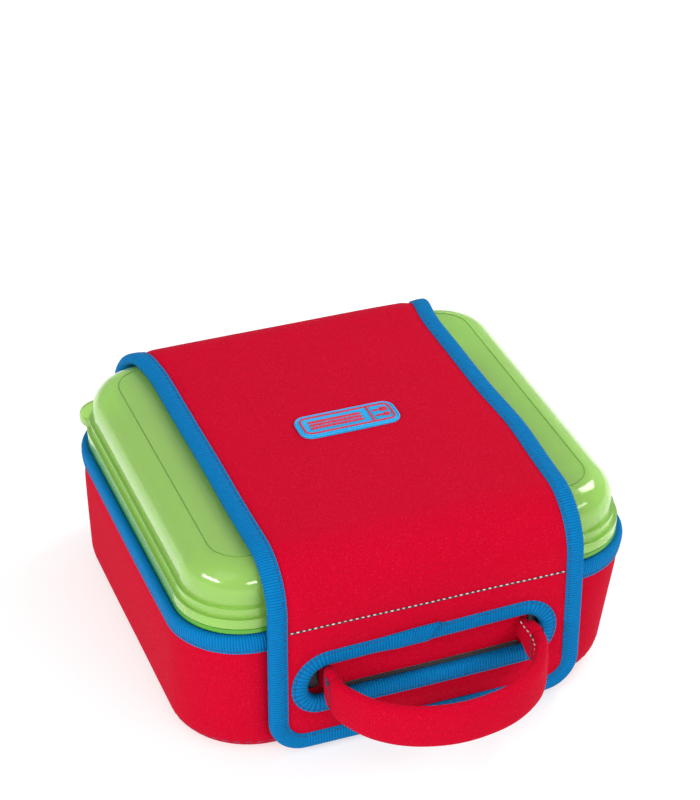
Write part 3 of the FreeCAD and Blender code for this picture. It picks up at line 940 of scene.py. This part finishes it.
# Stations of the strap's left half, in millimetres: x, y, middle height, thickness, height.
STRAP = [
    (-41.0, -87.4, 33.8, 3.4, 10.4), (-41.2, -90.2, 33.8, 3.8, 11.4), (-41.6, -93.0, 33.7, 4.6, 13.6),
    (-42.0, -96.4, 33.6, 5.4, 17.0), (-42.3, -101.0, 33.5, 5.6, 17.2),
    (-40.6, -108.6, 33.2, 6.0, 17.4), (-33.0, -120.6, 33.0, 6.2, 18.0), (-18.6, -129.8, 32.8, 6.2, 18.2),
    (0.0, -133.0, 32.6, 6.2, 18.4),
]
SEAM_Y = -101.4 * MM
TACK_Y = -100.1 * MM
TACK_ROWS = 9
PER_RUN = 12
ROUND = 28
PINCH = 0.13
stations = [np.array(row) * MM for row in STRAP]
mirror = np.array([-1, 1, 1, 1, 1])
stations += [row * mirror for row in reversed(stations[:-1])]


def spline(rows, per_run):
    """Points on a smooth curve through every row."""
    out = []
    for i in range(len(rows) - 1):
        p0, p1, p2, p3 = rows[max(i - 1, 0)], rows[i], rows[i + 1], rows[min(i + 2, len(rows) - 1)]
        for k in range(per_run):
            t = k / per_run
            out.append(0.5 * (2 * p1 + (p2 - p0) * t + (2 * p0 - 5 * p1 + 4 * p2 - p3) * t ** 2
                              + (3 * p1 - p0 - 3 * p2 + p3) * t ** 3))
    out.append(rows[-1])
    return out


strap_line = spline(stations, PER_RUN)


def strap_section(thick, height):
    """A padded band standing on edge, crowned on its outer side."""
    points = []
    for k in range(ROUND):
        a = 2 * math.pi * k / ROUND
        c, s = math.cos(a), math.sin(a)
        across = math.copysign(abs(c) ** 0.75, c) * thick / 2
        up = math.copysign(abs(s) ** 0.42, s) * height / 2
        across *= 1 - 0.25 * (up / (height / 2)) ** 2 if across < 0 else 1
        points.append((across, up))
    return points


rows = []
strap_middle = []
for i, row in enumerate(strap_line):
    ahead = strap_line[min(i + 1, len(strap_line) - 1)][:2] - strap_line[max(i - 1, 0)][:2]
    ahead = Vector(ahead).normalized()
    outer_side = Vector((ahead.y, -ahead.x))
    pinch = 1 - PINCH * math.exp(-(((row[1] - SEAM_Y) / (0.8 * MM)) ** 2))
    section = strap_section(row[3] * pinch, row[4] * (0.4 + 0.6 * pinch))
    ripple = 0.25 * MM * noise.noise(Vector((row[0] * 60, row[1] * 60, 0)))
    strap_middle.append((Vector(row[:3]), outer_side, row[3], row[4]))
    rows.append([Vector((row[0] + outer_side.x * (w + ripple), row[1] + outer_side.y * (w + ripple),
                         row[2] + h)) for w, h in section])
along = lengths([m for m, *_ in strap_middle])
section_lengths = lengths([Vector(p) for p in strap_section(6 * MM, 18 * MM)], closed=True)
grip = lattice("handle_strap", rows, along, section_lengths, RED)
dress(grip, "foam_red", "handle_grip", "handle_core", "handle_base")
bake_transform(grip)

# ------------------------------------------------------------------ badge
badge_middle = (badge_low + badge_high) / 2
badge_half = (badge_high - badge_low) / 2


def ring(half_x, half_y, radius, z, count=6):
    """A rounded rectangle of points round the badge's middle."""
    points = []
    for cx, cy, start in ((1, -1, -90), (1, 1, 0), (-1, 1, 90), (-1, -1, 180)):
        for k in range(count + 1):
            a = math.radians(start + 90 * k / count)
            points.append(Vector((badge_middle.x + cx * (half_x - radius) + radius * math.cos(a),
                                  badge_middle.y + cy * (half_y - radius) + radius * math.sin(a), z)))
    return points


def pad(name, profile, half_x, half_y, radius, material):
    """A moulded plate built up from insets and heights, closed by flat faces."""
    rows = [ring(half_x - inset, half_y - inset, max(radius - inset, 0.3 * MM), z)
            for inset, z in profile]
    insets = [inset for inset, _ in profile]
    return lattice(name, rows, insets, lengths(rows[0], closed=True), material)


b0 = badge_low.z - 0.3 * MM
b1 = badge_high.z
badge_profile = [
    (0.0, b0), (0.0, b1 - 0.5 * MM), (0.12 * MM, b1 - 0.18 * MM), (0.4 * MM, b1),
    (0.85 * MM, b1), (1.0 * MM, b1 - 0.28 * MM), (1.3 * MM, b1 - 0.28 * MM), (1.45 * MM, b1),
    (1.8 * MM, b1), (1.95 * MM, b1 - 0.1 * MM),
]
badge = pad("badge_plate", badge_profile, badge_half.x, badge_half.y, 5 * MM, RUBBER)
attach(dress(badge, "badge_blue", "badge"), "flap_top")

frame_top = inlay_high.z
frame_profile = [(0.0, b1 - 0.3 * MM), (0.0, frame_top - 0.15 * MM), (0.15 * MM, frame_top),
                 (0.65 * MM, frame_top), (0.8 * MM, frame_top - 0.15 * MM), (0.8 * MM, b1 - 0.3 * MM)]
inlay_half = (inlay_high - inlay_low) / 2
line = pad("badge_line", frame_profile, inlay_half.x, inlay_half.y, 3.1 * MM, RUBBER_RED)
bm = bmesh.new()
bm.from_mesh(line.data)
bmesh.ops.delete(bm, geom=[f for f in bm.faces if len(f.verts) > 4], context="FACES")
bm.to_mesh(line.data)
bm.free()
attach(dress(line, "badge_red", "badge_inlay"), "flap_top")


def relief(name, outlines, material, rise=0.32 * MM):
    """Small raised shapes on the badge, each a closed outline with a rounded top edge."""
    verts = []
    faces = []
    uvs = []
    for points in outlines:
        middle = sum(points, Vector((0, 0))) / len(points)
        levels = [(1.0, b1 - 0.25 * MM), (1.0, b1 + rise * 0.6), (0.9, b1 + rise)]
        base = len(verts)
        n = len(points)
        for share, z in levels:
            for p in points:
                q = middle + (p - middle) * share
                verts.append(Vector((badge_middle.x + q.x, badge_middle.y + q.y, z)))
        for level in (0, 1):
            for k in range(n):
                a = base + level * n
                faces.append((a + k, a + (k + 1) % n, a + n + (k + 1) % n, a + n + k))
                uvs += [(0, 0)] * 4
        faces.append(tuple(base + 2 * n + k for k in range(n)))
        uvs += [(0, 0)] * n
    return make_object(name, verts, faces, uvs, material)


def bar(x0, x1, y, half, count=5):
    """The outline of a bar with round ends."""
    points = []
    for cx, start in ((x1 - half, -90), (x0 + half, 90)):
        for k in range(count + 1):
            a = math.radians(start + 180 * k / count)
            points.append(Vector((cx + half * math.cos(a), y + half * math.sin(a))))
    return points


def oval(cx, cy, rx, ry, count=14):
    """The outline of an oval."""
    turns = [2 * math.pi * k / count for k in range(count)]
    return [Vector((cx + rx * math.cos(a), cy + ry * math.sin(a))) for a in turns]


# Three lines, a divider, a fork and a spoon.
divider_x = 9.9 * MM
shapes = [bar(-16.5 * MM, 6.5 * MM, y * MM, 0.55 * MM) for y in (-2.2, 0.0, 2.2)]
shapes.append([Vector((divider_x + dx * 0.4 * MM, y * 5.6 * MM)) for dx, y in
               ((-1, -1), (1, -1), (1, 1), (-1, 1))])
fork_y = 1.9 * MM
shapes.append(bar(11.6 * MM, 15.4 * MM, fork_y, 0.42 * MM))
shapes += [bar(14.6 * MM, 17.8 * MM, fork_y + k * 0.95 * MM, 0.3 * MM) for k in (-1, 0, 1)]
spoon_y = -2.0 * MM
shapes.append(bar(11.6 * MM, 15.6 * MM, spoon_y, 0.42 * MM))
shapes.append(oval(16.4 * MM, spoon_y, 1.6 * MM, 1.15 * MM))
piece = relief("badge_motif", shapes, RUBBER_RED)
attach(dress(piece, "badge_red"), "flap_top")

# ------------------------------------------------------------------ sewing on the handle
def strap_at(along_y, sign):
    """The strap's middle, outward side, thickness and height where it passes a y on one side."""
    half = strap_middle[:len(strap_middle) // 2] if sign < 0 else strap_middle[len(strap_middle) // 2:]
    return min(half, key=lambda row: abs(row[0].y - along_y))


def strap_face(sign, face):
    """Places points on the strap's outer (1) or inner (-1) face, on the left (-1) or right (1)."""
    def place(y, z, depth):
        middle, out, thick, _ = strap_at(y, sign)
        return Vector((middle.x + out.x * face * (thick / 2 - depth), y, z))

    return place


def with_handle(obj, slot, *nodes):
    """Hides a piece's nodes and bakes its transform into its mesh."""
    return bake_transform(dress(obj, slot, *nodes))


for side, sign in (("left", -1), ("right", 1)):
    on_strap = strap_face(sign, 1)
    in_strap = strap_face(sign, -1)
    middle, _, _, height = strap_at(SEAM_Y, sign)
    low, high = middle.z - height * 0.4, middle.z + height * 0.4
    path = rounded_line([(SEAM_Y, low, 0), (SEAM_Y, high, 0)], step=MM)
    for name, where in (("out", on_strap), ("in", in_strap)):
        piece = stitches("strap_seam_%s_%s" % (side, name), path, where, 0, 0.3 * MM, THREAD_BLACK,
                         length=1.9 * MM, gap=0.7 * MM, radius=0.34 * MM)
        with_handle(piece, "thread_dark")
    zigzag = []
    for k in range(TACK_ROWS):
        zigzag.append((TACK_Y + (-0.9 if k % 2 else 0.9) * MM, high + 0.6 * MM - k * 0.5 * MM, 0))
    piece = stitches("bartack_" + side + "_sewing", rounded_line(zigzag, step=0.5 * MM), on_strap, 0,
                     -0.05 * MM, THREAD_DARK, length=2.3 * MM, gap=0.1 * MM, radius=0.28 * MM)
    with_handle(piece, "thread_dark", "bartack_" + side)
    if side == "right":
        run_low = middle.z + height * 0.34
        path = rounded_line([(-90.5 * MM, run_low, 0), (-117 * MM, run_low, 0)], step=MM)
        piece = stitches("strap_edge_right", path, in_strap, 0, 0.1 * MM, THREAD_PALE,
                         length=1.6 * MM, gap=1.3 * MM, radius=0.26 * MM)
        with_handle(piece, "foam_red")

# ------------------------------------------------------------------ container
for node, material in (("container_base", BASE_GREEN_SHADED), ("container_lid", LID_GREEN), ("hinge_pin", PIN)):
    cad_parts[node].data.materials.clear()
    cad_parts[node].data.materials.append(material)


# ------------------------------------------------------------------ floor, light and camera
def stage_floor(half):
    """A plain pale floor, 2 half wide."""
    mesh = bpy.data.meshes.new("studio_floor")
    mesh.from_pydata([(-half, -half, 0), (half, -half, 0), (half, half, 0), (-half, half, 0)], [],
                     [(0, 1, 2, 3)])
    obj = bpy.data.objects.new("studio_floor", mesh)
    bpy.context.scene.collection.objects.link(obj)
    s = Shader("studio_white", Roughness=0.9, Emission_Color=(1, 1, 1, 1), Emission_Strength=0.55)
    mesh.materials.append(s.finish((0.5, 0.5, 0.5, 1)))


def looking(name, data, where, way):
    """A lamp or camera at a place, pointed along way."""
    obj = bpy.data.objects.new(name, data)
    bpy.context.scene.collection.objects.link(obj)
    obj.location = where
    obj.rotation_mode = "QUATERNION"
    obj.rotation_quaternion = way.to_track_quat("-Z", "Y")
    return obj


def area_light(name, where, aim, size, power, size_y=None):
    """A soft lamp that points at aim."""
    data = bpy.data.lights.new(name, "AREA")
    data.energy = power
    data.shape = "RECTANGLE"
    data.size = size
    data.size_y = size_y or size
    return looking(name, data, where, Vector(aim) - Vector(where))


def world_light(strength):
    """Even white light from all round."""
    world = bpy.data.worlds.new("studio")
    bpy.context.scene.world = world
    world.use_nodes = True
    background = world.node_tree.nodes["Background"]
    background.inputs["Color"].default_value = (1, 1, 1, 1)
    background.inputs["Strength"].default_value = strength


def main_camera():
    """A long lens in front, a little to the left and above."""
    azimuth = math.radians(-20.6)
    elevation = math.radians(32.3)
    distance = 1.0841
    aim = Vector((5.8 * MM, 10.2 * MM, FLAP_TOP))
    back = Vector((math.sin(azimuth) * math.cos(elevation), -math.cos(azimuth) * math.cos(elevation),
                   math.sin(elevation)))
    data = bpy.data.cameras.new("camera")
    data.sensor_width = 36
    data.lens = 118.9
    data.clip_start = 0.05
    data.clip_end = 20
    bpy.context.scene.camera = looking("camera", data, aim + back * distance, -back)


bpy.context.scene.view_settings.view_transform = "Standard"
stage_floor(5.0)
world_light(0.55)
middle = (0, 0, 0.05)
area_light("key", (-0.8, -0.6, 1.2), middle, 0.9, 2)
area_light("top", (1.0, 0.35, 1.1), middle, 0.5, 8)
area_light("side", (1.2, 0.75, 0.5), (0.08, 0, 0.07), 0.8, 5).visible_glossy = False
for name, along, power in (("left", (-0.867, -0.291, 0.405), 11.0), ("front", (0.118, -0.902, 0.415), 7.0),
                           ("right", (0.528, -0.651, 0.546), 3.0)):
    area_light("glint_" + name, Vector(along) * 1.5, (0, 0, 0.07), 0.8, power, 0.2)
main_camera()
